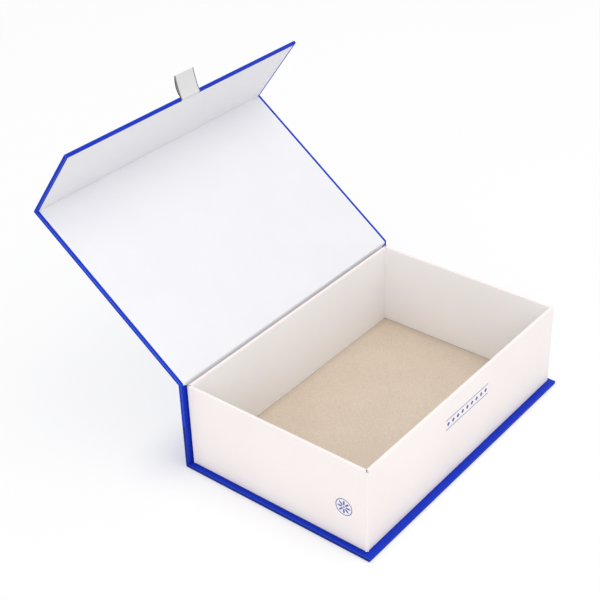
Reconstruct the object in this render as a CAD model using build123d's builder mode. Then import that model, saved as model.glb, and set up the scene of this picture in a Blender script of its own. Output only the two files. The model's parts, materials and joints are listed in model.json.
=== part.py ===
from build123d import *
import os
from math import cos, radians, sin

os.makedirs("parts", exist_ok=True)

# Driving dimensions, in millimetres and degrees
tray_length = 300.0
tray_depth = 196.0
wall_height = 86.1
wall_board = 2.4
wall_paper = 0.4
cover_board = 2.25
cover_paper = 0.4
side_ledge = 5.3
front_ledge = 6.1
spine_reach = 5.0
flap_reach = 5.0
hinge_inset = 1.35
floor_thickness = 1.0
floor_inset = 1.0
open_angle = 143.55

# Clearances between pieces that move past each other
panel_clearance = 0.3
wall_foot_clearance = 0.3
rim_clearance = 0.35
fold_clearance = 0.4
crease_gap = 0.3

# Turned edges of the cover paper, as seen round the linings
cover_lip = 1.6
base_front_lip = 14.0
base_side_lip = 14.0

# Magnets in the flap and the steel discs that they meet
magnet_radius = 6.0
magnet_thickness = 1.5
magnet_spacing = 170.0
magnet_height = 60.0

# Ribbon pull
ribbon_width = 25.0
ribbon_reach = 22.0
ribbon_lean = 54.0
ribbon_tuck = 12.0
ribbon_layer = 0.35
ribbon_straight = 3.4
ribbon_belly = 1.5

# Glue line between the back wall and the spine
adhesive_margin = 6.0

# Printed ornaments
print_thickness = 0.1
rosette_y = 24.0
rosette_height = 37.0
rosette_radius = 8.6
rosette_ring = 0.7
rosette_petals = 8
rosette_petal_length = 5.0
rosette_petal_width = 1.7
band_height = 59.8
band_diamonds = 9
band_pitch = 7.6
band_diamond = 4.6
band_line_length = 68.0
band_line_width = 0.6
band_line_offset = 5.2

# Sizes that follow
cover_thickness = cover_board + 2 * cover_paper
wall_thickness = wall_board + 2 * wall_paper
hinge_gap = cover_thickness - hinge_inset + panel_clearance
inner_face = cover_thickness - hinge_inset
cover_length = tray_length + 2 * side_ledge
base_depth = front_ledge + tray_depth + spine_reach - hinge_inset - hinge_gap
base_front = -base_depth / 2
tray_front = base_front + front_ledge
tray_back = tray_front + tray_depth
tray_middle = (tray_front + tray_back) / 2
floor_top = cover_thickness + floor_thickness
wall_foot = floor_top + wall_foot_clearance
rim = wall_foot + wall_height
tray_left = -tray_length / 2
tray_right = tray_length / 2
spine_hinge_y = base_depth / 2 + hinge_gap
spine_hinge_z = hinge_inset
lid_hinge_z = rim + rim_clearance + inner_face
spine_span = lid_hinge_z - spine_hinge_z
flap_hinge_y = tray_front - flap_reach + hinge_inset
lid_span = spine_hinge_y - flap_hinge_y
ribbon_passage = 2 * ribbon_layer + 2 * panel_clearance
flap_end = lid_hinge_z - cover_thickness - ribbon_passage
lid_slope = radians(180 - open_angle)

# The four cover panels: local y runs along the panel, local z towards its lined side
base_plane = Plane(
    origin=(0, spine_hinge_y, spine_hinge_z), x_dir=(-1, 0, 0), z_dir=(0, 0, 1)
)
spine_plane = Plane(
    origin=(0, spine_hinge_y, spine_hinge_z), x_dir=(1, 0, 0), z_dir=(0, -1, 0)
)
lid_plane = Plane(
    origin=(0, spine_hinge_y, lid_hinge_z),
    x_dir=(1, 0, 0),
    z_dir=(0, -sin(lid_slope), cos(lid_slope)),
)
flap_plane = Plane(
    origin=(
        0,
        spine_hinge_y + lid_span * cos(lid_slope),
        lid_hinge_z + lid_span * sin(lid_slope),
    ),
    x_dir=(1, 0, 0),
    z_dir=(0, -cos(lid_slope), -sin(lid_slope)),
)


def save(piece, name):
    """Labels a finished piece and writes it under its name."""
    piece.label = name
    export_step(piece, f"parts/{name}.step")


def slab(plane, x, y, z):
    """A flat sheet between two limits along each axis of a plane."""
    with BuildPart() as sheet:
        with BuildSketch(plane.offset(z[0])):
            with Locations(((x[0] + x[1]) / 2, (y[0] + y[1]) / 2)):
                Rectangle(x[1] - x[0], y[1] - y[0])
        extrude(amount=z[1] - z[0])
    return sheet.part


def centred(width):
    """The two limits of a width that is centred on the panel."""
    return (-width / 2, width / 2)


# Cover: each panel is a board in its paper, which is turned over the free edges
board_low = cover_paper - hinge_inset
board_high = board_low + cover_board


def cover_board_sheet(plane, low, high):
    """The board, which runs to the hinges and stops a paper's thickness inside the sides."""
    return slab(
        plane, centred(cover_length - 2 * cover_paper), (low, high), (board_low, board_high)
    )


def cover_lining_sheet(plane, side_lip, low, high):
    """The lining on the board's inner side, inside the turned edges."""
    return slab(plane, centred(cover_length - 2 * side_lip), (low, high), (board_high, inner_face))


def cover_wrap(plane, low, high, board, lining):
    """The cover paper of one panel, hollow where its board and its lining lie."""
    with BuildPart() as wrap:
        add(slab(plane, centred(cover_length), (low, high), (-hinge_inset, inner_face)))
        add(board, mode=Mode.SUBTRACT)
        add(lining, mode=Mode.SUBTRACT)
    return wrap.part


base_end = hinge_gap + base_depth
base_board = cover_board_sheet(base_plane, hinge_gap, base_end - cover_paper)
base_lining = cover_lining_sheet(
    base_plane, base_side_lip, hinge_gap, base_end - base_front_lip
)
base_wrap = cover_wrap(base_plane, hinge_gap, base_end, base_board, base_lining)

spine_end = spine_span - hinge_gap
spine_board = cover_board_sheet(spine_plane, hinge_gap, spine_end)
spine_lining = cover_lining_sheet(spine_plane, cover_lip, hinge_gap, spine_end)
spine_wrap = cover_wrap(spine_plane, hinge_gap, spine_end, spine_board, spine_lining)

lid_end = lid_span - hinge_gap
lid_board = cover_board_sheet(lid_plane, hinge_gap, lid_end)
lid_lining = cover_lining_sheet(lid_plane, cover_lip, hinge_gap, lid_end)
lid_wrap = cover_wrap(lid_plane, hinge_gap, lid_end, lid_board, lid_lining)

flap_blank = cover_board_sheet(flap_plane, hinge_gap, flap_end - cover_paper)
flap_lining = cover_lining_sheet(
    flap_plane, cover_lip, hinge_gap, flap_end - cover_lip
)
flap_wrap_blank = cover_wrap(
    flap_plane, hinge_gap, flap_end, flap_blank, flap_lining
)

# Ribbon pull: a folded loop that swings at the flap's edge, beyond two layers that are
# tucked under the flap's lining. It leans outwards from the flap. Its section starts at
# the root of the loop, runs along the loop, then towards the lining.
ribbon_top = board_high
ribbon_low = ribbon_top - 2 * ribbon_layer
ribbon_middle = ribbon_top - ribbon_layer
ribbon_root = flap_end + panel_clearance + ribbon_layer
ribbon_tip = ribbon_reach - panel_clearance - ribbon_layer
ribbon_slope = radians(ribbon_lean)
ribbon_section = Plane(
    origin=flap_plane.from_local_coords((-ribbon_width / 2, ribbon_root, ribbon_middle)),
    x_dir=flap_plane.y_dir * cos(ribbon_slope) - flap_plane.z_dir * sin(ribbon_slope),
    z_dir=flap_plane.x_dir,
)


def ribbon_lens(inset):
    """The outline of the loop's two bowed layers, drawn in by an inset."""
    low = (ribbon_straight - ribbon_layer + 2 * inset, 0)
    high = (ribbon_tip - 2 * inset, 0)
    middle = (ribbon_straight + ribbon_tip) / 2
    with BuildSketch(ribbon_section) as lens:
        with BuildLine():
            ThreePointArc(low, (middle, ribbon_belly - inset), high)
            ThreePointArc(high, (middle, inset - ribbon_belly), low)
        make_face()
    return lens.sketch


with BuildPart() as ribbon_pull:
    with BuildSketch(ribbon_section):
        Circle(ribbon_layer)
        with Locations((ribbon_straight / 2, 0)):
            Rectangle(ribbon_straight, 2 * ribbon_layer)
    extrude(amount=ribbon_width)
    extrude(ribbon_lens(0), amount=ribbon_width)
    extrude(ribbon_lens(ribbon_layer), amount=ribbon_width, mode=Mode.SUBTRACT)

ribbon_anchor = slab(
    flap_plane,
    centred(ribbon_width),
    (flap_end - ribbon_tuck, flap_end),
    (ribbon_low, ribbon_top),
)

# Flap: its board has pockets for the magnets, and a recess for the ribbon's tucked end
magnet_along = lid_hinge_z - magnet_height
with BuildPart() as flap_magnets:
    with BuildSketch(flap_plane.offset(board_high - magnet_thickness)):
        with Locations((0, magnet_along)):
            with GridLocations(magnet_spacing, 0, 2, 1):
                Circle(magnet_radius)
    extrude(amount=magnet_thickness)
with BuildPart() as flap_board:
    add(flap_blank)
    add(flap_magnets.part, mode=Mode.SUBTRACT)
    add(ribbon_anchor, mode=Mode.SUBTRACT)
ribbon_notch = slab(
    flap_plane, centred(ribbon_width), (flap_end - cover_lip, flap_end), (ribbon_low, inner_face)
)
with BuildPart() as flap_wrap:
    add(flap_wrap_blank)
    add(ribbon_notch, mode=Mode.SUBTRACT)


# Bends of the cover: the paper outside and the lining inside run on from panel to panel
def bend(near, near_end, far, low, high, width):
    """A strip folded once, from the end of one panel to the start of the next."""
    spread = (near.z_dir + far.z_dir) / (1 + near.z_dir.dot(far.z_dir))
    corners = [
        near.from_local_coords((0, near_end, low)),
        far.origin + spread * low,
        far.from_local_coords((0, hinge_gap, low)),
        far.from_local_coords((0, hinge_gap, high)),
        far.origin + spread * high,
        near.from_local_coords((0, near_end, high)),
    ]
    with BuildPart() as strip:
        with BuildSketch(Plane.YZ.offset(-width / 2)):
            with BuildLine():
                Polyline(*[(corner.Y, corner.Z) for corner in corners], close=True)
            make_face()
        extrude(amount=width)
    return strip.part


lining_width = cover_length - 2 * cover_lip
for name, near, near_end, far in (
    ("spine_hinge", base_plane, hinge_gap, spine_plane),
    ("lid_hinge", spine_plane, spine_end, lid_plane),
    ("flap_hinge", lid_plane, lid_end, flap_plane),
):
    save(bend(near, near_end, far, -hinge_inset, board_low, cover_length), f"{name}_cloth")
    save(bend(near, near_end, far, board_high, inner_face, lining_width), f"{name}_lining")

# Floor panel inside the tray, and the glue between the tray's back wall and the spine
floor_panel = slab(
    Plane.XY,
    (tray_left + floor_inset, tray_right - floor_inset),
    (tray_front + floor_inset, tray_back - floor_inset),
    (cover_thickness, floor_top),
)
spine_adhesive = slab(
    spine_plane,
    (tray_left + adhesive_margin, tray_right - adhesive_margin),
    (wall_foot + adhesive_margin - spine_hinge_z, rim - adhesive_margin - spine_hinge_z),
    (inner_face, inner_face + spine_reach - cover_thickness),
)


# Tray walls: each is a board in paper that turns over the rim, with a lining inside.
# A wall's plane has its origin at the foot of the outer face, y up and z outwards.
def wall_plane(x, y, outward):
    return Plane(origin=(x, y, wall_foot), x_dir=Vector(0, 0, 1).cross(outward), z_dir=outward)


def wall_layers(plane, length):
    """The board, the outer paper and the lining of one wall."""
    width = centred(length - 2 * wall_paper)
    height = (wall_paper, wall_height - wall_paper)
    board = slab(plane, width, height, (wall_paper - wall_thickness, -wall_paper))
    lining = slab(plane, width, height, (-wall_thickness, wall_paper - wall_thickness))
    with BuildPart() as paper:
        add(slab(plane, centred(length), (0, wall_height), (-wall_thickness, 0)))
        add(board, mode=Mode.SUBTRACT)
        add(lining, mode=Mode.SUBTRACT)
    return {"board": board, "paper": paper.part, "lining": lining}


corner_y = wall_thickness + fold_clearance
half_length = tray_depth / 2 - corner_y - crease_gap / 2
rear_half_y = tray_middle + (crease_gap + half_length) / 2
front_half_y = tray_middle - (crease_gap + half_length) / 2
left, right = Vector(-1, 0, 0), Vector(1, 0, 0)
back_wall_plane = wall_plane(0, tray_back, Vector(0, 1, 0))
front_wall_plane = wall_plane(0, tray_front, Vector(0, -1, 0))
left_front_plane = wall_plane(tray_left, front_half_y, left)
walls = {
    "back_wall": wall_layers(back_wall_plane, tray_length),
    "front_wall": wall_layers(front_wall_plane, tray_length),
    "left_rear": wall_layers(wall_plane(tray_left, rear_half_y, left), half_length),
    "left_front": wall_layers(left_front_plane, half_length),
    "right_rear": wall_layers(wall_plane(tray_right, rear_half_y, right), half_length),
    "right_front": wall_layers(wall_plane(tray_right, front_half_y, right), half_length),
}

# Steel discs under the front wall's paper, which the flap's magnets meet
with BuildPart() as keeper_discs:
    with BuildSketch(front_wall_plane.offset(-wall_paper)):
        with Locations((0, magnet_height - wall_foot)):
            with GridLocations(magnet_spacing, 0, 2, 1):
                Circle(magnet_radius)
    extrude(amount=-magnet_thickness)
with BuildPart() as front_board:
    add(walls["front_wall"]["board"])
    add(keeper_discs.part, mode=Mode.SUBTRACT)
walls["front_wall"]["board"] = front_board.part

# Printed ornaments: a petal rosette on the left end and a band of diamonds in front
with BuildPart() as left_print:
    with BuildSketch(left_front_plane):
        with Locations((front_half_y - tray_front - rosette_y, rosette_height)):
            Circle(rosette_radius)
            Circle(rosette_radius - rosette_ring, mode=Mode.SUBTRACT)
            Circle(rosette_petal_width / 2)
            with PolarLocations(rosette_radius / 2, rosette_petals):
                Ellipse(rosette_petal_length / 2, rosette_petal_width / 2)
    extrude(amount=print_thickness)
with BuildPart() as front_print:
    with BuildSketch(front_wall_plane):
        with Locations((0, band_height)):
            with GridLocations(band_pitch, 0, band_diamonds, 1):
                RegularPolygon(band_diamond / 2, 4)
            with GridLocations(0, 2 * band_line_offset, 1, 2):
                Rectangle(band_line_length, band_line_width)
    extrude(amount=print_thickness)

for name, piece in {
    "base_board": base_board,
    "base_wrap": base_wrap,
    "base_lining": base_lining,
    "floor_panel": floor_panel,
    "spine_board": spine_board,
    "spine_wrap": spine_wrap,
    "spine_lining": spine_lining,
    "spine_adhesive": spine_adhesive,
    "lid_board": lid_board,
    "lid_wrap": lid_wrap,
    "lid_lining": lid_lining,
    "flap_board": flap_board.part,
    "flap_wrap": flap_wrap.part,
    "flap_lining": flap_lining,
    "flap_magnets": flap_magnets.part,
    "ribbon_anchor": ribbon_anchor,
    "ribbon_pull": ribbon_pull.part,
    "keeper_discs": keeper_discs.part,
    "left_print": left_print.part,
    "front_print": front_print.part,
}.items():
    save(piece, name)
for wall, layers in walls.items():
    for layer, piece in layers.items():
        save(piece, f"{wall}_{layer}")
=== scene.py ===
import json
import math

import bmesh
import bpy
from mathutils import Matrix, Vector


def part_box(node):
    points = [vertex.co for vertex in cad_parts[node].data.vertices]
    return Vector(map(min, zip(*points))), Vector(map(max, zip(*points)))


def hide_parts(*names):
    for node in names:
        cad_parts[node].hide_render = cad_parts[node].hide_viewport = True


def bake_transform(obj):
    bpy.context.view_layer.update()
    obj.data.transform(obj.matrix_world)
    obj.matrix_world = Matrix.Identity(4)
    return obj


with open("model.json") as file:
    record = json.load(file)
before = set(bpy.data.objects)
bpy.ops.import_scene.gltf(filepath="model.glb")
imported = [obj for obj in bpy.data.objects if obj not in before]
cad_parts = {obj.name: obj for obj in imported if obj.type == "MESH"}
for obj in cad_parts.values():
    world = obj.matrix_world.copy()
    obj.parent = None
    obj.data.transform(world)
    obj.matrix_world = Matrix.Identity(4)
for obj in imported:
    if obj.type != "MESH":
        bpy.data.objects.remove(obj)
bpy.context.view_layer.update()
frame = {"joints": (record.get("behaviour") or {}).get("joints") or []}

MM = 0.001


# Places and sizes that come from the frame
def joint_place(name):
    """Where a joint's axis lies at rest."""
    joint = next(j for j in frame["joints"] if j["name"] == name)
    return Vector(joint["pos_m"])


def node_box(name):
    """The lowest and highest corner of a CAD node, as vectors."""
    low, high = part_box(name)
    return Vector(low), Vector(high)


spine_hinge = joint_place("spine_hinge")
lid_hinge = joint_place("lid_hinge")
flap_hinge = joint_place("flap_hinge")
front_low, front_high = node_box("front_wall_paper")
back_high = node_box("back_wall_paper")[1]
base_low, base_high = node_box("base_wrap")
spine_high = node_box("spine_wrap")[1]
floor_low, floor_high = node_box("floor_panel")

wall_thickness = front_high.y - front_low.y
cover_thickness = base_high.z - base_low.z
cover_half = base_high.x
tray_half = front_high.x
tray_front = front_low.y
tray_back = back_high.y
tray_middle = (tray_front + tray_back) / 2
wall_foot = front_low.z
rim = front_high.z
hinge_inset = spine_high.y - spine_hinge.y
inner_face = cover_thickness - hinge_inset
spine_span = (lid_hinge - spine_hinge).length
lid_span = (flap_hinge - lid_hinge).length

# The cover panels' angles about X, from the +Y direction
spine_angle = math.pi / 2
lid_angle = math.atan2(flap_hinge.z - lid_hinge.z, flap_hinge.y - lid_hinge.y)
flap_angle = lid_angle + math.pi / 2


def panel_axes(angle):
    """The directions along a cover panel and towards its lined side, for its angle about X."""
    along = Vector((0, math.cos(angle), math.sin(angle)))
    return along, Vector((0, -along.z, along.y))


flap_along, flap_inward = panel_axes(flap_angle)
flap_mesh = bpy.data.objects["flap_wrap"].data
flap_end = max((vertex.co - flap_hinge).dot(flap_along) for vertex in flap_mesh.vertices)

# Paper: how far a lining stands above the turned paper, how edges are rounded, and how far
# to each side of its joint a fold or a crease bends
lining_proud = 0.15 * MM
lining_thickness = 0.25 * MM
cover_lip = 3.2 * MM
panel_round = 0.45 * MM
wall_round = 0.4 * MM
lining_round = 0.07 * MM
edge_segments = 3
sharp_angle = 0.8
smooth_angle = 0.6


# How near a vertex lies to count as on a seam, as on a fold, or as a double
seam_match = 0.01 * MM
fold_match = 0.03 * MM
double_match = 0.005 * MM


# Mesh helpers, each ending with a finished object whose place is in its mesh
def deselect_all():
    bpy.ops.object.select_all(action="DESELECT")


def choose(piece):
    """Selects one piece alone and makes it active."""
    deselect_all()
    piece.select_set(True)
    bpy.context.view_layer.objects.active = piece


def settle(piece):
    """Puts the object at the origin, unturned and unscaled, with its place in its mesh."""
    choose(piece)
    bpy.ops.object.transform_apply(location=True, rotation=True, scale=True)
    return piece


def apply_modifiers(piece):
    """Makes the modifiers part of the mesh."""
    choose(piece)
    for modifier in list(piece.modifiers):
        bpy.ops.object.modifier_apply(modifier=modifier.name)


def outward(piece):
    """Merges doubles and turns every face outwards."""
    choose(piece)
    bpy.ops.object.mode_set(mode="EDIT")
    bpy.ops.mesh.select_all(action="SELECT")
    bpy.ops.mesh.remove_doubles(threshold=double_match)
    bpy.ops.mesh.normals_make_consistent(inside=False)
    bpy.ops.mesh.select_all(action="DESELECT")
    bpy.ops.object.mode_set(mode="OBJECT")


def first_edge(name, middle, length, upright):
    """One straight edge about a middle point, along Z if upright and along X otherwise."""
    deselect_all()
    bpy.ops.mesh.primitive_plane_add(
        size=length,
        location=middle + Vector((0, length / 2, 0)),
        rotation=(0, -math.pi / 2 if upright else 0, 0),
    )
    piece = bpy.context.object
    piece.name = name
    settle(piece)
    bpy.ops.object.mode_set(mode="EDIT")
    bpy.ops.mesh.select_mode(type="VERT")
    bpy.ops.mesh.select_all(action="DESELECT")
    mesh = bmesh.from_edit_mesh(piece.data)
    for vertex in mesh.verts:
        if vertex.co.y > middle.y + length / 2:
            vertex.select_set(True)
    bmesh.update_edit_mesh(piece.data)
    bpy.ops.mesh.delete(type="VERT")
    bpy.ops.mesh.select_all(action="SELECT")
    return piece


def sheet_along(name, path, length, upright):
    """A sheet extruded step by step along a path, from its first edge."""
    piece = first_edge(name, path[0], length, upright)
    for here, there in zip(path, path[1:]):
        bpy.ops.mesh.extrude_edges_move(TRANSFORM_OT_translate={"value": there - here})
    bpy.ops.mesh.select_all(action="DESELECT")
    bpy.ops.object.mode_set(mode="OBJECT")
    return settle(piece)


def flattened(point, upright):
    """The point's place in the plane that the path lies in."""
    return Vector((point.x, point.y, 0)) if upright else Vector((0, point.y, point.z))


def select_edges(piece, chosen):
    """Goes to edit mode with only the chosen edges selected."""
    choose(piece)
    bpy.ops.object.mode_set(mode="EDIT")
    bpy.ops.mesh.select_mode(type="EDGE")
    bpy.ops.mesh.select_all(action="DESELECT")
    mesh = bmesh.from_edit_mesh(piece.data)
    for edge in mesh.edges:
        if chosen(edge):
            edge.select_set(True)
    bmesh.update_edit_mesh(piece.data)


def leave_edges():
    """Goes back to object mode with nothing selected in the mesh."""
    bpy.ops.mesh.select_all(action="DESELECT")
    bpy.ops.object.mode_set(mode="OBJECT")


def at_fold(place, upright):
    """A test for the edges that run along a fold at a place."""
    spot = flattened(place, upright)
    return lambda edge: all(
        (flattened(vertex.co, upright) - spot).length < fold_match for vertex in edge.verts
    )


def round_edges(piece, chosen, width, segments):
    """Rounds the chosen edges."""
    select_edges(piece, chosen)
    bpy.ops.mesh.bevel(
        offset=width, segments=segments, profile=0.5, affect="EDGES", clamp_overlap=False
    )
    leave_edges()


def smooth(piece, angle=smooth_angle):
    """Shades the piece smooth, apart from its edges sharper than an angle."""
    choose(piece)
    bpy.ops.object.shade_smooth_by_angle(angle=angle)


def unwrap_along(piece, path, upright):
    """A UV map in metres: across the path in U, and along it in V."""
    layer = piece.data.uv_layers.new(name="sheet")
    starts = [0.0]
    for here, there in zip(path, path[1:]):
        starts.append(starts[-1] + (there - here).length)
    spots = []
    for vertex in piece.data.vertices:
        across = vertex.co.z if upright else vertex.co.x
        point = flattened(vertex.co, upright)
        best = None
        for start, here, there in zip(starts, path, path[1:]):
            here, there = flattened(here, upright), flattened(there, upright)
            step = there - here
            share = min(1, max(0, (point - here).dot(step) / step.length_squared))
            gap = (point - here - step * share).length
            if best is None or gap < best[0] - 0.001 * MM:
                best = (gap, start + share * step.length)
        spots.append((across + best[0], best[1]))
    for loop in piece.data.loops:
        layer.data[loop.index].uv = spots[loop.vertex_index]


def folded_board(
    name, path, length, upright, thickness, inward, folds=(), tucks=(), edge_round=0, seams=(0, 1)
):
    """A board that follows a path of its outer side, with rounded folds and edges.
    inward points to the board's other side at the path's start. folds are (place, width,
    segments) of folds to round, tucks are (place, shift) of folds to push in first, and
    seams are the ends, 0 and 1, that meet the next piece and stay square."""
    piece = sheet_along(name, path, length, upright)
    normal = piece.data.polygons[0].normal
    solid = piece.modifiers.new("board", "SOLIDIFY")
    solid.thickness = thickness
    solid.offset = math.copysign(1, normal.dot(inward))
    solid.use_even_offset = True
    solid.use_quality_normals = True
    apply_modifiers(piece)
    outward(piece)
    for place, shift in tucks:
        select_edges(piece, at_fold(place, upright))
        bpy.ops.transform.translate(value=shift)
        leave_edges()
    for place, width, segments in folds:
        round_edges(piece, at_fold(place, upright), width, segments)
    ends = (
        (flattened(path[0], upright), (path[1] - path[0]).normalized()),
        (flattened(path[-1], upright), (path[-1] - path[-2]).normalized()),
    )

    def sharp(edge):
        for seam in seams:
            spot, along = ends[seam]
            offsets = [(flattened(v.co, upright) - spot).dot(along) for v in edge.verts]
            if max(abs(offset) for offset in offsets) < seam_match:
                return False
        return edge.calc_face_angle(0) > sharp_angle

    if edge_round:
        round_edges(piece, sharp, edge_round, edge_segments)
    smooth(piece)
    unwrap_along(piece, path, upright)
    return piece


def spread_of(near_angle, far_angle):
    """From a hinge to where two panels' planes meet, for each unit of depth."""
    near_inward, far_inward = panel_axes(near_angle)[1], panel_axes(far_angle)[1]
    return (near_inward + far_inward) / (1 + near_inward.dot(far_inward))


def fold_corner(hinge, near_angle, far_angle, depth):
    """Where the planes at a depth of two panels meet."""
    return Vector((0, hinge.y, hinge.z)) + spread_of(near_angle, far_angle) * depth


def fold_path(start, hinge, near_angle, far_angle, depth, end, steps):
    """A path from a start on one panel round a fold to an end on the next panel."""
    near_along, far_along = panel_axes(near_angle)[0], panel_axes(far_angle)[0]
    near_inward, far_inward = panel_axes(near_angle)[1], panel_axes(far_angle)[1]
    place = Vector((0, hinge.y, hinge.z))
    corner = fold_corner(hinge, near_angle, far_angle, depth)
    first = place + near_along * start + near_inward * depth
    last = place + far_along * end + far_inward * depth
    near = [corner - near_along * step for step in reversed(steps)]
    far = [corner + far_along * step for step in steps]
    return [first] + near + [corner] + far + [last]


# Cover: boards in blue paper, in three pieces that meet in the middle of a panel
square_fold_steps = [3.7 * MM, 6 * MM, 12 * MM]
open_fold_steps = [1 * MM, 2 * MM, 4 * MM, 12 * MM]
lining_fold_steps = [0.8 * MM, 2 * MM, 6 * MM, 12 * MM]
cover_width = 2 * cover_half
panel_depth = cover_thickness - lining_proud
panel_top = inner_face - lining_proud
groove = 0.3 * MM
outer_fold = (1.2 * MM, 4)
groove_fold = (0.25 * MM, 2)
open_outer_fold = (0.5 * MM, 2)
open_inner_fold = (0.8 * MM, 3)
lining_groove_fold = (0.2 * MM, 2)


def fold_tuck(hinge, near_angle, far_angle, depth):
    """Pushes the inner side of a square fold towards its hinge, as a groove."""
    corner = fold_corner(hinge, near_angle, far_angle, depth)
    return corner, -spread_of(near_angle, far_angle) * groove


def tucked(hinge, near_angle, far_angle, depth):
    """Where the inner side of a square fold lies once it is pushed in."""
    corner, shift = fold_tuck(hinge, near_angle, far_angle, depth)
    return corner + shift


base_path = fold_path(
    base_low.y - spine_hinge.y,
    spine_hinge,
    0,
    spine_angle,
    -hinge_inset,
    spine_span / 2,
    square_fold_steps,
)
base_cover = folded_board(
    "base_cover",
    base_path,
    cover_width,
    False,
    cover_thickness,
    panel_axes(0)[1],
    folds=[
        (fold_corner(spine_hinge, 0, spine_angle, -hinge_inset), *outer_fold),
        (tucked(spine_hinge, 0, spine_angle, inner_face), *groove_fold),
    ],
    tucks=[fold_tuck(spine_hinge, 0, spine_angle, inner_face)],
    edge_round=panel_round,
    seams=(1,),
)

spine_path = fold_path(
    -spine_span / 2, lid_hinge, spine_angle, lid_angle, -hinge_inset, lid_span / 2,
    open_fold_steps,
)
spine_cover = folded_board(
    "spine_cover",
    spine_path,
    cover_width,
    False,
    panel_depth,
    panel_axes(spine_angle)[1],
    folds=[
        (fold_corner(lid_hinge, spine_angle, lid_angle, -hinge_inset), *open_outer_fold),
        (fold_corner(lid_hinge, spine_angle, lid_angle, panel_top), *open_inner_fold),
    ],
    edge_round=panel_round,
)

lid_path = fold_path(
    -lid_span / 2, flap_hinge, lid_angle, flap_angle, -hinge_inset, flap_end,
    square_fold_steps,
)
lid_cover = folded_board(
    "lid_cover",
    lid_path,
    cover_width,
    False,
    panel_depth,
    panel_axes(lid_angle)[1],
    folds=[
        (fold_corner(flap_hinge, lid_angle, flap_angle, -hinge_inset), *outer_fold),
        (tucked(flap_hinge, lid_angle, flap_angle, panel_top), *groove_fold),
    ],
    tucks=[fold_tuck(flap_hinge, lid_angle, flap_angle, panel_top)],
    edge_round=panel_round,
    seams=(0,),
)

# Linings of the cover: thin sheets inside the turned blue edges
lining_width = 2 * (cover_half - cover_lip)
lining_foot = 6 * MM
behind_tray = lining_width / 2 - tray_half + 2.5 * MM
spine_lining_path = fold_path(
    lining_foot - spine_span, lid_hinge, spine_angle, lid_angle, inner_face, lid_span / 2,
    open_fold_steps,
)
lining_back = inner_face - lining_thickness
spine_lining_sheet = folded_board(
    "spine_lining_sheet",
    spine_lining_path,
    lining_width,
    False,
    lining_thickness,
    -panel_axes(spine_angle)[1],
    folds=[
        (fold_corner(lid_hinge, spine_angle, lid_angle, depth), *open_inner_fold)
        for depth in (inner_face, lining_back)
    ],
    edge_round=lining_round,
)

# The lining's spine part is narrower than the tray, which hides it
lining_side = lining_width / 2 - 1 * MM
below_rim = rim - 0.5 * MM
for side in (-1, 1):
    choose(spine_lining_sheet)
    bpy.ops.object.mode_set(mode="EDIT")
    bpy.ops.mesh.select_mode(type="VERT")
    bpy.ops.mesh.select_all(action="DESELECT")
    lining_mesh = bmesh.from_edit_mesh(spine_lining_sheet.data)
    for vertex in lining_mesh.verts:
        if vertex.co.x * side > lining_side and vertex.co.z < below_rim:
            vertex.select_set(True)
    bmesh.update_edit_mesh(spine_lining_sheet.data)
    bpy.ops.transform.translate(value=(-side * behind_tray, 0, 0))
    bpy.ops.object.mode_set(mode="OBJECT")

lid_lining_path = fold_path(
    -lid_span / 2, flap_hinge, lid_angle, flap_angle, inner_face, flap_end - cover_lip,
    lining_fold_steps,
)
lid_lining_sheet = folded_board(
    "lid_lining_sheet",
    lid_lining_path,
    lining_width,
    False,
    lining_thickness,
    -panel_axes(lid_angle)[1],
    folds=[
        (tucked(flap_hinge, lid_angle, flap_angle, depth), *lining_groove_fold)
        for depth in (inner_face, lining_back)
    ],
    tucks=[
        fold_tuck(flap_hinge, lid_angle, flap_angle, depth) for depth in (inner_face, lining_back)
    ],
    edge_round=lining_round,
    seams=(0,),
)


# Tray: five pieces that meet in the middle of a wall, each with its own lining sheet
rear_quarter = (tray_middle + tray_back) / 2
front_quarter = (tray_middle + tray_front) / 2
corner_steps = [1.5 * MM, 3 * MM, 8 * MM]
crease_steps = [0.4 * MM * step for step in range(5)] + [3 * MM, 8 * MM]
lining_depth = wall_thickness + lining_proud
lining_drop = 1.2 * MM
lining_lift = 0.2 * MM
corner_fold = (0.9 * MM, 4)
free_gap = 0.1 * MM


def corner_path(start, corner, end, steps, height):
    """A path in plan from a start round a corner to an end."""
    start, corner, end = (Vector((x, y, height)) for x, y in (start, corner, end))
    back, forward = (start - corner).normalized(), (end - corner).normalized()
    return (
        [start]
        + [corner + back * step for step in reversed(steps)]
        + [corner]
        + [corner + forward * step for step in steps]
        + [end]
    )


def crease_path(x, start, end, height):
    """A straight path along an end wall, with close steps where the wall's crease is."""
    back, forward = math.copysign(1, start - tray_middle), math.copysign(1, end - tray_middle)
    places = [start]
    places += [tray_middle + back * step for step in crease_steps[::-1]]
    places += [tray_middle + forward * step for step in crease_steps[1:]]
    return [Vector((x, y, height)) for y in places + [end]]


def wall_and_lining(name, path_at, start_inward, corner_at=None, seams=(0, 1)):
    """One length of the tray's wall and the lining on its inner side."""
    height = (wall_foot + rim) / 2
    folds = [(Vector((*corner_at(0), height)), *corner_fold)] if corner_at else []
    wall = folded_board(
        f"{name}_wall_board",
        path_at(0, height),
        rim - wall_foot,
        True,
        wall_thickness,
        start_inward,
        folds=folds,
        edge_round=wall_round,
        seams=seams,
    )
    low, high = wall_foot + lining_lift, rim - lining_drop
    lining = folded_board(
        f"{name}_wall_lining",
        path_at(lining_depth, (low + high) / 2),
        high - low,
        True,
        lining_thickness,
        -start_inward,
        edge_round=lining_round,
        seams=seams,
    )
    return wall, lining


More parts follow.
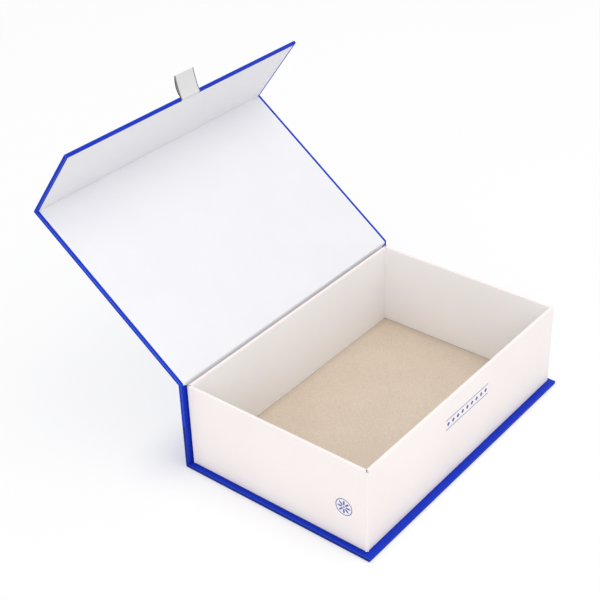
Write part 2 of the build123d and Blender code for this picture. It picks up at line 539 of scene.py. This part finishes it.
def back_corner_pieces(name, side):
    """Half of the back wall, and the corner to an end wall. side is -1 on the left."""

    def corner_at(depth):
        return side * (tray_half - depth), tray_back - depth

    def path_at(depth, height):
        return corner_path(
            (0, tray_back - depth),
            corner_at(depth),
            (side * (tray_half - depth), rear_quarter),
            corner_steps,
            height,
        )

    return wall_and_lining(name, path_at, Vector((0, -1, 0)), corner_at)


def front_left_path(depth, height):
    """Along the front of the left end wall, round its corner and along the front wall."""
    free_end = tray_half - (wall_thickness + free_gap if depth else 0)
    return corner_path(
        (depth - tray_half, front_quarter),
        (depth - tray_half, tray_front + depth),
        (free_end, tray_front + depth),
        corner_steps,
        height,
    )


def left_crease_path(depth, height):
    """Along the middle of the left end wall."""
    return crease_path(depth - tray_half, rear_quarter, front_quarter, height)


def right_crease_path(depth, height):
    """Along the right end wall, to its free end behind the front wall."""
    end = tray_front + wall_thickness + free_gap + (lining_proud if depth else 0)
    return crease_path(tray_half - depth, rear_quarter, end, height)


tray_pieces = {
    "back_left": (back_corner_pieces("back_left", -1), "spine", "left_rear_wall"),
    "back_right": (back_corner_pieces("back_right", 1), "spine", "right_rear_wall"),
    "front": (
        wall_and_lining(
            "front",
            front_left_path,
            Vector((1, 0, 0)),
            lambda depth: (depth - tray_half, tray_front + depth),
            seams=(0,),
        ),
        "left_front_wall",
        "front_wall",
    ),
    "left_end": (
        wall_and_lining("left_end", left_crease_path, Vector((1, 0, 0))),
        "left_rear_wall",
        "left_front_wall",
    ),
    "right_end": (
        wall_and_lining("right_end", right_crease_path, Vector((-1, 0, 0)), seams=(0,)),
        "right_rear_wall",
        "right_front_wall",
    ),
}


# Ribbon pull: one strip, tucked under the flap's lining, folded back on itself at its tip
ribbon_low, ribbon_high = node_box("ribbon_pull")
ribbon_width = ribbon_high.x - ribbon_low.x
ribbon_thickness = 0.22 * MM
ribbon_gap = 0.24 * MM
ribbon_tuck = 11.5 * MM
ribbon_chord = 22.3 * MM
ribbon_lean = math.radians(54)
ribbon_leave = math.radians(76)
ribbon_bow = 1.1 * MM
ribbon_over_lip = panel_top + ribbon_thickness * 0.5 + ribbon_gap / 2
ribbon_under_lining = inner_face - 0.55 * MM
ribbon_root = 0.3 * MM
ribbon_elbow = 0.45
ribbon_closing = 0.93
ribbon_roundness = 1.3
ribbon_steps = 18
tip_steps = 6
tip_lean = ribbon_lean * 0.7


def on_flap(along, depth):
    """A place on the flap, along it from its hinge and inwards."""
    return flap_hinge + flap_along * along + flap_inward * depth


def lean_axis(angle):
    """The direction that leans outwards from the flap by an angle."""
    return flap_along * math.cos(angle) - flap_inward * math.sin(angle)


def ribbon_line(share, side):
    """A point on one layer of the loop, from its root at 0 to its tip at 1."""
    root = on_flap(flap_end + ribbon_root, ribbon_over_lip)
    tip = root + lean_axis(ribbon_lean) * ribbon_chord
    elbow = root + lean_axis(ribbon_leave) * ribbon_chord * ribbon_elbow
    middle = root.lerp(elbow, share).lerp(elbow.lerp(tip, share), share)
    way = (elbow - root).lerp(tip - elbow, share).normalized()
    across = Vector((0, -way.z, way.y))
    swell = math.sin(math.pi * min(1, share * ribbon_closing)) ** ribbon_roundness
    bulge = ribbon_gap / 2 + ribbon_bow * swell
    return middle + across * bulge * side


def ribbon_path():
    """From one tucked end out over the turned edge, round the loop and back."""
    half = ribbon_gap / 2
    front = [
        on_flap(flap_end - ribbon_tuck, ribbon_under_lining + half),
        on_flap(flap_end - cover_lip - 1.2 * MM, ribbon_under_lining + half),
        on_flap(flap_end - cover_lip - 0.3 * MM, ribbon_over_lip + half * 0.4),
        on_flap(flap_end - cover_lip + 0.5 * MM, ribbon_over_lip + half),
        on_flap(flap_end - 0.4 * MM, ribbon_over_lip + half),
    ]
    back = [
        on_flap(flap_end - ribbon_tuck, ribbon_under_lining - half),
        on_flap(flap_end - cover_lip - 1.2 * MM, ribbon_under_lining - half),
        on_flap(flap_end - cover_lip + 0.3 * MM, ribbon_over_lip - half),
        on_flap(flap_end - 0.4 * MM, ribbon_over_lip - half),
    ]
    shares = [step / ribbon_steps for step in range(ribbon_steps + 1)]
    front += [ribbon_line(share, 1) for share in shares]
    returning = [ribbon_line(share, -1) for share in shares]
    tip_front, tip_back = front[-1], returning[-1]
    centre = (tip_front + tip_back) / 2
    arm = (tip_front - tip_back) / 2
    way = lean_axis(tip_lean) * arm.length
    angles = [math.pi * step / tip_steps for step in range(1, tip_steps)]
    turn = [centre + arm * math.cos(angle) + way * math.sin(angle) for angle in angles]
    path = front + turn + returning[::-1] + back[::-1]
    return [Vector((0, point.y, point.z)) for point in path]


ribbon_points = ribbon_path()
ribbon_loop = sheet_along("ribbon_loop", ribbon_points, ribbon_width, False)
ribbon_solid = ribbon_loop.modifiers.new("satin", "SOLIDIFY")
ribbon_solid.thickness = ribbon_thickness
ribbon_solid.offset = 0
apply_modifiers(ribbon_loop)
outward(ribbon_loop)
smooth(ribbon_loop, 1.0)
unwrap_along(ribbon_loop, ribbon_points, False)


# Materials: each is built from small steps on Object coordinates or on the piece's UV map
class Finish:
    """A material with one Principled shader, and the steps that its finish is built from."""

    def __init__(self, name, roughness, specular):
        self.material = bpy.data.materials.new(name)
        self.material.use_nodes = True
        self.tree = self.material.node_tree
        self.shader = self.tree.nodes["Principled BSDF"]
        self.shader.inputs["Roughness"].default_value = roughness
        self.shader.inputs["Specular IOR Level"].default_value = specular
        self.places = self.tree.nodes.new("ShaderNodeTexCoord").outputs

    def add(self, kind, inputs, output=0, **settings):
        """A node with its settings and inputs, of which one output is given back."""
        node = self.tree.nodes.new(kind)
        for key, value in settings.items():
            setattr(node, key, value)
        for key, value in inputs.items():
            if isinstance(value, bpy.types.NodeSocket):
                self.tree.links.new(value, node.inputs[key])
            else:
                node.inputs[key].default_value = value
        return node.outputs[output]

    def scaled(self, place, scale):
        """The places, scaled along each axis."""
        return self.add("ShaderNodeMapping", {"Vector": place, "Scale": scale})

    def noise(self, place, scale, detail=3.0, roughness=0.55):
        """Noise about 0.5, with a scale in features per metre."""
        return self.add(
            "ShaderNodeTexNoise",
            {"Vector": place, "Scale": scale, "Detail": detail, "Roughness": roughness},
        )

    def stretch(self, value, low, high, to_low=0.0, to_high=1.0):
        """Turns a range of a value into another range, with soft ends."""
        return self.add(
            "ShaderNodeMapRange",
            {0: value, 1: low, 2: high, 3: to_low, 4: to_high},
            interpolation_type="SMOOTHSTEP",
        )

    def maths(self, operation, first, second=0.0):
        """One sum on two values."""
        return self.add("ShaderNodeMath", {0: first, 1: second}, operation=operation)

    def mixed(self, factor, first, second):
        """Mixes two colours."""
        colours = [c if isinstance(c, bpy.types.NodeSocket) else (*c, 1.0) for c in (first, second)]
        return self.add(
            "ShaderNodeMix",
            {0: factor, 6: colours[0], 7: colours[1]},
            output=2,
            data_type="RGBA",
        )

    def finish(self, colour, height, depth, roughness=None):
        """Joins the colour, the bump and the roughness to the shader."""
        bump = self.add("ShaderNodeBump", {"Height": height, "Strength": 1.0, "Distance": depth})
        self.tree.links.new(colour, self.shader.inputs["Base Color"])
        self.tree.links.new(bump, self.shader.inputs["Normal"])
        if roughness is not None:
            self.tree.links.new(roughness, self.shader.inputs["Roughness"])
        return self.material


def bands(finish, place, pitch, direction):
    """Threads of a weave: rounded bands with a pitch in metres along one axis."""
    return finish.add(
        "ShaderNodeTexWave",
        {"Vector": place, "Scale": math.pi / (10 * pitch), "Distortion": 1.2, "Detail": 1.0,
         "Detail Scale": 0.6},
        output=1,
        bands_direction=direction,
    )


# Lighter blue for rounded board edges: partly wear, partly a painted highlight on the rounding
wear_and_highlight_blue = (0.045, 0.17, 0.86)


def arris(finish, inset):
    """A band along a rounded board edge, from the distance in from that edge."""
    rise = finish.stretch(inset, 0.02 * MM, 0.15 * MM)
    return finish.maths("MULTIPLY", rise, finish.stretch(inset, 0.6 * MM, 1.0 * MM, 1.0, 0.0))


def book_cloth(name, mitre_at=None, mitre_sign=1, beside_tray=False):
    """Royal blue cover paper with a fine weave and lighter edges, partly wear and partly a painted
    highlight. mitre_at is the length along the sheet at which its free edge lies, with mitred
    corners and the same lighter edge, and mitre_sign points from there onto the sheet. A sheet
    beside the tray gets painted shade, darker at the tray's foot."""
    finish = Finish(name, 0.55, 0.14)
    sheet, place = finish.places["UV"], finish.places["Object"]
    weave = finish.maths(
        "MULTIPLY", bands(finish, sheet, 0.6 * MM, "X"), bands(finish, sheet, 0.6 * MM, "Y")
    )
    cloud = finish.stretch(finish.noise(place, 55.0, 4.0), 0.3, 0.7)
    slub = finish.stretch(finish.noise(finish.scaled(sheet, (90, 1500, 1)), 1.0, 2.0), 0.35, 0.7)
    colour = finish.mixed(cloud, (0.0045, 0.029, 0.47), (0.0050, 0.032, 0.50))
    colour = finish.mixed(finish.maths("MULTIPLY", weave, 0.35), colour, (0.012, 0.06, 0.68))
    colour = finish.mixed(finish.maths("MULTIPLY", slub, 0.18), colour, (0.003, 0.016, 0.32))
    across = finish.add("ShaderNodeSeparateXYZ", {0: place}, output=0)
    inset = finish.maths("SUBTRACT", cover_half, finish.maths("ABSOLUTE", across))
    # Side edges: a lighter band, partly wear and partly a painted highlight
    edge = arris(finish, inset)
    speckle = finish.stretch(finish.noise(place, 900.0, 2.0), 0.4, 0.62)
    edge_breakup = finish.maths("ADD", finish.maths("MULTIPLY", speckle, 0.35), 0.45)
    wear_and_highlight = finish.maths("MULTIPLY", edge, edge_breakup)
    colour = finish.mixed(wear_and_highlight, colour, wear_and_highlight_blue)
    height = finish.maths(
        "ADD", finish.maths("MULTIPLY", weave, 0.6), finish.maths("MULTIPLY", slub, 0.4)
    )
    if mitre_at is not None:
        along = finish.add("ShaderNodeSeparateXYZ", {0: sheet}, output=1)
        away = finish.maths("SUBTRACT", along, mitre_at)
        away = finish.maths("MULTIPLY", away, float(mitre_sign))
        # The free edge gets the same lighter band, partly wear and partly a painted highlight
        colour = finish.mixed(
            finish.maths("MULTIPLY", arris(finish, away), 0.6), colour, wear_and_highlight_blue
        )
        off = finish.maths("ABSOLUTE", finish.maths("SUBTRACT", away, inset))
        seam = finish.stretch(off, 0.25 * MM, 0.8 * MM, 1.0, 0.0)
        seam = finish.maths("MULTIPLY", seam, finish.stretch(inset, 5 * MM, 6 * MM, 1.0, 0.0))
        colour = finish.mixed(finish.maths("MULTIPLY", seam, 0.7), colour, (0.002, 0.010, 0.15))
        height = finish.maths("SUBTRACT", height, seam)
    if beside_tray:
        # Painted shade: the ledge turns darker blue towards the foot of the tray's walls
        reached = finish.maths("DIVIDE", inset, cover_half - tray_half)
        if mitre_at is not None:
            forward = finish.maths("DIVIDE", away, tray_front - base_low.y)
            reached = finish.maths("MINIMUM", reached, forward)
        shaded = finish.maths("MULTIPLY", finish.stretch(reached, 0.78, 0.97), 0.65)
        colour = finish.mixed(shaded, colour, (0.002, 0.010, 0.13))
    return finish.finish(colour, height, 0.04 * MM)


paper_roughness = 0.62


def paper(name, low, high):
    """Smooth uncoated paper: faint clouds, fibres and pits."""
    finish = Finish(name, paper_roughness, 0.25)
    place = finish.places["Object"]
    cloud = finish.stretch(finish.noise(place, 18.0, 5.0), 0.35, 0.65)
    fibre = finish.noise(finish.scaled(place, (260, 900, 520)), 1.0, 4.0)
    fibre = finish.stretch(fibre, 0.38, 0.66)
    tooth = finish.noise(place, 2600.0, 2.0)
    colour = finish.mixed(cloud, low, high)
    shade = tuple(value * 0.93 for value in low)
    colour = finish.mixed(finish.maths("MULTIPLY", fibre, 0.10), colour, shade)
    height = finish.maths(
        "ADD", finish.maths("MULTIPLY", fibre, 0.5), finish.maths("MULTIPLY", tooth, 0.5)
    )
    matt = finish.stretch(cloud, 0.0, 1.0, paper_roughness - 0.05, paper_roughness + 0.05)
    return finish.finish(colour, height, 0.015 * MM, matt)


def kraft_board():
    """Tan kraft board: flecks and fibres at several sizes, with painted shade darker towards its
    edges and a near-black painted shadow under the walls.
    """
    finish = Finish("kraft_board", 0.78, 0.2)
    place = finish.places["Object"]
    cloud = finish.stretch(finish.noise(place, 26.0, 6.0, 0.6), 0.32, 0.68)
    fibre = finish.noise(finish.scaled(place, (420, 1250, 800)), 1.0, 5.0, 0.7)
    cross = finish.noise(finish.scaled(place, (1300, 460, 800)), 1.0, 5.0, 0.7)
    fleck = finish.stretch(finish.noise(place, 1500.0, 2.0, 0.5), 0.62, 0.72)
    pale = finish.stretch(cross, 0.55, 0.75)
    colour = finish.mixed(cloud, (0.68, 0.575, 0.465), (0.72, 0.61, 0.495))
    colour = finish.mixed(finish.stretch(fibre, 0.36, 0.66, 0.0, 0.62), colour, (0.55, 0.45, 0.35))
    colour = finish.mixed(finish.maths("MULTIPLY", pale, 0.4), colour, (0.82, 0.73, 0.62))
    colour = finish.mixed(finish.maths("MULTIPLY", fleck, 0.7), colour, (0.38, 0.29, 0.21))
    split = finish.tree.nodes.new("ShaderNodeSeparateXYZ")
    finish.tree.links.new(place, split.inputs[0])
    floor_middle = (floor_low.y + floor_high.y) / 2
    beside = finish.maths(
        "SUBTRACT", tray_half - wall_thickness, finish.maths("ABSOLUTE", split.outputs[0])
    )
    before = finish.maths(
        "SUBTRACT",
        (tray_back - tray_front) / 2 - wall_thickness,
        finish.maths("ABSOLUTE", finish.maths("SUBTRACT", split.outputs[1], floor_middle)),
    )
    inside = finish.maths("MINIMUM", beside, before)
    # Painted shade: the board turns darker towards the walls
    painted_edge_shade = finish.stretch(inside, 0.0, 9 * MM, 0.35, 0.0)
    colour = finish.mixed(painted_edge_shade, colour, (0.50, 0.41, 0.32))
    # Painted shadow: near-black at the board's outer edge, seen in the gap under the walls
    outside = finish.stretch(inside, -3 * MM, -2 * MM, 1.0, 0.0)
    colour = finish.mixed(outside, colour, (0.07, 0.065, 0.08))
    height = finish.maths("ADD", fibre, finish.maths("MULTIPLY", cross, 0.7))
    return finish.finish(colour, height, 0.06 * MM)


def satin():
    """Pale satin ribbon: fine cross ribs, long soft lines of painted sheen, and firm side edges
    darkened with painted shade.
    """
    finish = Finish("ribbon_satin", 0.36, 0.45)
    finish.shader.inputs["Sheen Weight"].default_value = 0.25
    finish.shader.inputs["Anisotropic"].default_value = 0.5
    sheet, place = finish.places["UV"], finish.places["Object"]
    rib = bands(finish, sheet, 0.32 * MM, "Y")
    # Painted sheen: long lighter lines along the ribbon
    sheen_streak = finish.stretch(finish.noise(finish.scaled(sheet, (2600, 45, 1)), 1.0, 3.0), 0.3, 0.7)
    colour = finish.mixed(sheen_streak, (0.62, 0.615, 0.628), (0.70, 0.695, 0.705))
    colour = finish.mixed(finish.maths("MULTIPLY", rib, 0.14), colour, (0.62, 0.62, 0.65))
    across = finish.maths("ABSOLUTE", finish.add("ShaderNodeSeparateXYZ", {0: place}, output=0))
    # Painted shade: near-black bands along both side edges of the ribbon
    selvedge_shade = finish.stretch(across, ribbon_width / 2 - 1.3 * MM, ribbon_width / 2 - 0.7 * MM)
    colour = finish.mixed(finish.maths("MULTIPLY", selvedge_shade, 0.92), colour, (0.12, 0.12, 0.14))
    height = finish.maths("ADD", rib, finish.maths("MULTIPLY", sheen_streak, 0.4))
    return finish.finish(colour, height, 0.03 * MM)


def ink(name, low, high):
    """Thin printed ink, a little broken up by the paper's tooth."""
    finish = Finish(name, 0.5, 0.3)
    place = finish.places["Object"]
    tooth = finish.stretch(finish.noise(place, 1900.0, 3.0), 0.35, 0.7)
    colour = finish.mixed(tooth, low, high)
    return finish.finish(colour, tooth, 0.01 * MM)


def grey_board():
    """Raw grey board: mottled pulp in faint layers."""
    finish = Finish("grey_board", 0.85, 0.2)
    place = finish.places["Object"]
    pulp = finish.stretch(finish.noise(place, 700.0, 6.0, 0.7), 0.3, 0.7)
    layers = finish.noise(finish.scaled(place, (90, 90, 2400)), 1.0, 3.0)
    layers = finish.stretch(layers, 0.35, 0.65)
    colour = finish.mixed(pulp, (0.22, 0.21, 0.19), (0.34, 0.32, 0.29))
    colour = finish.mixed(finish.maths("MULTIPLY", layers, 0.3), colour, (0.16, 0.15, 0.14))
    return finish.finish(colour, pulp, 0.08 * MM)


def nickel():
    """Brushed nickel plate."""
    finish = Finish("nickel_plate", 0.28, 0.5)
    finish.shader.inputs["Metallic"].default_value = 1.0
    place = finish.places["Object"]
    brushed = finish.noise(finish.scaled(place, (300, 6000, 6000)), 1.0, 3.0)
    colour = finish.mixed(brushed, (0.50, 0.50, 0.51), (0.68, 0.67, 0.65))
    return finish.finish(colour, brushed, 0.01 * MM, finish.stretch(brushed, 0.3, 0.7, 0.22, 0.4))


def shade_dark_foam_tape():
    """Foam tape with open cells, coloured near-black blue as painted shade for the dark line
    between the spine and the tray.
    """
    finish = Finish("shade_dark_foam_tape", 0.8, 0.2)
    place = finish.places["Object"]
    cells = finish.add("ShaderNodeTexVoronoi", {"Vector": place, "Scale": 1800.0})
    walls = finish.stretch(cells, 0.1, 0.6)
    # Painted shade: near-black blue, so the tape reads as the shadow line between spine and tray
    colour = finish.mixed(walls, (0.012, 0.016, 0.06), (0.022, 0.03, 0.10))
    return finish.finish(colour, cells, 0.1 * MM)


blue_base = book_cloth("blue_book_cloth_base", 0.0, beside_tray=True)
blue_spine = book_cloth("blue_book_cloth")
lid_path_length = sum((b - a).length for a, b in zip(lid_path, lid_path[1:]))
blue_lid = book_cloth("blue_book_cloth_lid", lid_path_length, -1)
cover_lining_paper = paper("cover_lining_paper", (0.80, 0.80, 0.832), (0.815, 0.815, 0.845))
wall_outside_paper = paper("wall_outside_paper", (0.885, 0.825, 0.808), (0.90, 0.842, 0.825))
wall_inside_paper = paper("wall_inside_paper", (0.89, 0.875, 0.875), (0.905, 0.89, 0.89))
kraft = kraft_board()
ribbon_satin = satin()
blue_ink = ink("blue_ink", (0.045, 0.075, 0.36), (0.10, 0.15, 0.50))
board_grey = grey_board()
nickel_plate = nickel()
tape = shade_dark_foam_tape()


def dress(piece, material):
    """Gives every face of a piece one material."""
    piece.data.materials.clear()
    piece.data.materials.append(material)


def bend_between(piece, material, nodes):
    """Gives a new piece its material and bakes its place into its mesh, in the place of the CAD
    nodes that it covers, which it hides.
    """
    dress(piece, material)
    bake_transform(piece)
    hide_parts(*nodes)


bend_between(
    base_cover, blue_base,
    ["base_wrap", "spine_hinge_cloth", "spine_hinge_lining"],
)
bend_between(
    spine_cover, blue_spine,
    ["spine_wrap", "lid_hinge_cloth"],
)
bend_between(
    lid_cover, blue_lid,
    ["lid_wrap", "flap_wrap", "flap_hinge_cloth"],
)
bend_between(
    spine_lining_sheet, cover_lining_paper,
    ["spine_lining", "lid_hinge_lining"],
)
bend_between(
    lid_lining_sheet, cover_lining_paper,
    ["lid_lining", "flap_lining", "flap_hinge_lining"],
)

tray_nodes = {
    "back_left": ["back_wall"],
    "back_right": ["right_rear"],
    "front": ["left_front", "front_wall"],
    "left_end": ["left_rear"],
    "right_end": ["right_front"],
}
for name, ((wall, lining), near_body, far_body) in tray_pieces.items():
    for piece, material, layer, slot in (
        (wall, wall_outside_paper, "paper", "wall_paper"),
        (lining, wall_inside_paper, "lining", "wall_lining"),
    ):
        nodes = [f"{node}_{layer}" for node in tray_nodes[name]]
        bend_between(piece, material, nodes)

dress(ribbon_loop, ribbon_satin)
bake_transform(ribbon_loop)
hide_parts("ribbon_pull", "ribbon_anchor")

# Finishes of the CAD nodes that stay
for node_names, material in (
    (("floor_panel",), kraft),
    (("base_lining",), cover_lining_paper),
    (("spine_adhesive",), tape),
    (("flap_magnets", "keeper_discs"), nickel_plate),
    (("left_print", "front_print"), blue_ink),
    (
        ("base_board", "spine_board", "lid_board", "flap_board", "back_wall_board",
         "front_wall_board", "left_rear_board", "left_front_board", "right_rear_board",
         "right_front_board"),
        board_grey,
    ),
):
    for node_name in node_names:
        dress(bpy.data.objects[node_name], material)

# Floor: a wide pale sheet that takes the object's soft shadow. To the camera it turns whiter
# with the distance from the base
floor_white_near = 0.28
floor_white_far = 0.8
floor_white_reach = 70 * MM
deselect_all()
bpy.ops.mesh.primitive_plane_add(size=12, location=(0, 0, -0.02 * MM))
floor = bpy.context.object
floor.name = "studio_floor"
floor_finish = Finish("studio_floor", 0.9, 0.0)
floor_tone = floor_finish.mixed(
    floor_finish.noise(floor_finish.places["Object"], 3.0), (0.93, 0.93, 0.93), (0.95, 0.95, 0.95)
)
floor_grain = floor_finish.noise(floor_finish.places["Object"], 40.0)
dress(floor, floor_finish.finish(floor_tone, floor_grain, 0.0))
floor_seen = floor_finish.add("ShaderNodeLightPath", {}, output="Is Camera Ray")
floor_white = floor_finish.add("ShaderNodeEmission", {"Color": (1, 1, 1, 1), "Strength": 0.99})
floor_place = floor_finish.tree.nodes.new("ShaderNodeSeparateXYZ")
floor_finish.tree.links.new(floor_finish.places["Object"], floor_place.inputs[0])


def beyond(axis, middle, half):
    """How far a point of the floor lies outside the base along one axis."""
    offset = floor_finish.maths("SUBTRACT", floor_place.outputs[axis], middle)
    outside = floor_finish.maths("SUBTRACT", floor_finish.maths("ABSOLUTE", offset), half)
    return floor_finish.maths("POWER", floor_finish.maths("MAXIMUM", outside, 0.0), 2.0)


floor_apart = floor_finish.maths(
    "SQRT", floor_finish.maths("ADD", beyond(0, 0.0, cover_half), beyond(1, 0.0, -base_low.y))
)
floor_whiteness = floor_finish.stretch(
    floor_apart, 0.0, floor_white_reach, floor_white_near, floor_white_far
)
floor_shown = floor_finish.add(
    "ShaderNodeMixShader",
    {0: floor_finish.maths("MULTIPLY", floor_seen, floor_whiteness),
     1: floor_finish.shader.outputs[0], 2: floor_white},
)
floor_end = floor_finish.tree.nodes["Material Output"]
floor_finish.tree.links.new(floor_shown, floor_end.inputs["Surface"])

# Light: an even white room, with one large soft lamp above and one from the front left
world = bpy.data.worlds.new("studio")
bpy.context.scene.world = world
world.use_nodes = True
tree = world.node_tree
ambient = tree.nodes["Background"]
ambient.inputs["Color"].default_value = (1, 1, 1, 1)
ambient.inputs["Strength"].default_value = 0.86
seen = tree.nodes.new("ShaderNodeBackground")
seen.inputs["Color"].default_value = (1, 1, 1, 1)
seen.inputs["Strength"].default_value = 1.0
rays = tree.nodes.new("ShaderNodeLightPath")
either = tree.nodes.new("ShaderNodeMath")
either.operation = "MAXIMUM"
tree.links.new(rays.outputs["Is Camera Ray"], either.inputs[0])
tree.links.new(rays.outputs["Is Glossy Ray"], either.inputs[1])
choice = tree.nodes.new("ShaderNodeMixShader")
tree.links.new(either.outputs[0], choice.inputs[0])
tree.links.new(ambient.outputs[0], choice.inputs[1])
tree.links.new(seen.outputs[0], choice.inputs[2])
tree.links.new(choice.outputs[0], tree.nodes["World Output"].inputs["Surface"])


def soft_lamp(name, place, target, size, power):
    """A square soft lamp that faces a target."""
    data = bpy.data.lights.new(name, "AREA")
    data.shape = "SQUARE"
    data.size = size
    data.energy = power
    lamp = bpy.data.objects.new(name, data)
    bpy.context.scene.collection.objects.link(lamp)
    lamp.location = place
    lamp.rotation_euler = (Vector(target) - Vector(place)).to_track_quat("-Z", "Y").to_euler()


soft_lamp("lamp_above", (0.3, -0.5, 1.9), (0, 0, 0.05), 1.4, 9)
soft_lamp("lamp_left", (-1.8, -0.9, 1.5), (0, 0, 0.06), 1.4, 9.5)

# Camera: the photograph's view
azimuth = math.radians(-50.414)
elevation = math.radians(32.752)
roll = math.radians(-1.955)
camera_place = Vector((-802.4, -571.675, 775.05)) * MM
sensor_width = 36.0
focal_pixels = 1312.7
frame_pixels = 600
facing = Vector((
    -math.sin(azimuth) * math.cos(elevation),
    math.cos(azimuth) * math.cos(elevation),
    -math.sin(elevation),
))
level = facing.cross(Vector((0, 0, 1))).normalized()
upward = level.cross(facing)
right = level * math.cos(roll) + upward * math.sin(roll)
above = upward * math.cos(roll) - level * math.sin(roll)
camera_data = bpy.data.cameras.new("camera")
camera_data.sensor_width = sensor_width
camera_data.lens = sensor_width * focal_pixels / frame_pixels
camera_data.clip_start = 0.05
camera_data.clip_end = 50
camera = bpy.data.objects.new("camera", camera_data)
bpy.context.scene.collection.objects.link(camera)
camera.matrix_world = Matrix.Translation(camera_place) @ Matrix(
    (right, above, -facing)
).transposed().to_4x4()
bpy.context.scene.camera = camera
bpy.context.scene.view_settings.view_transform = "Standard"
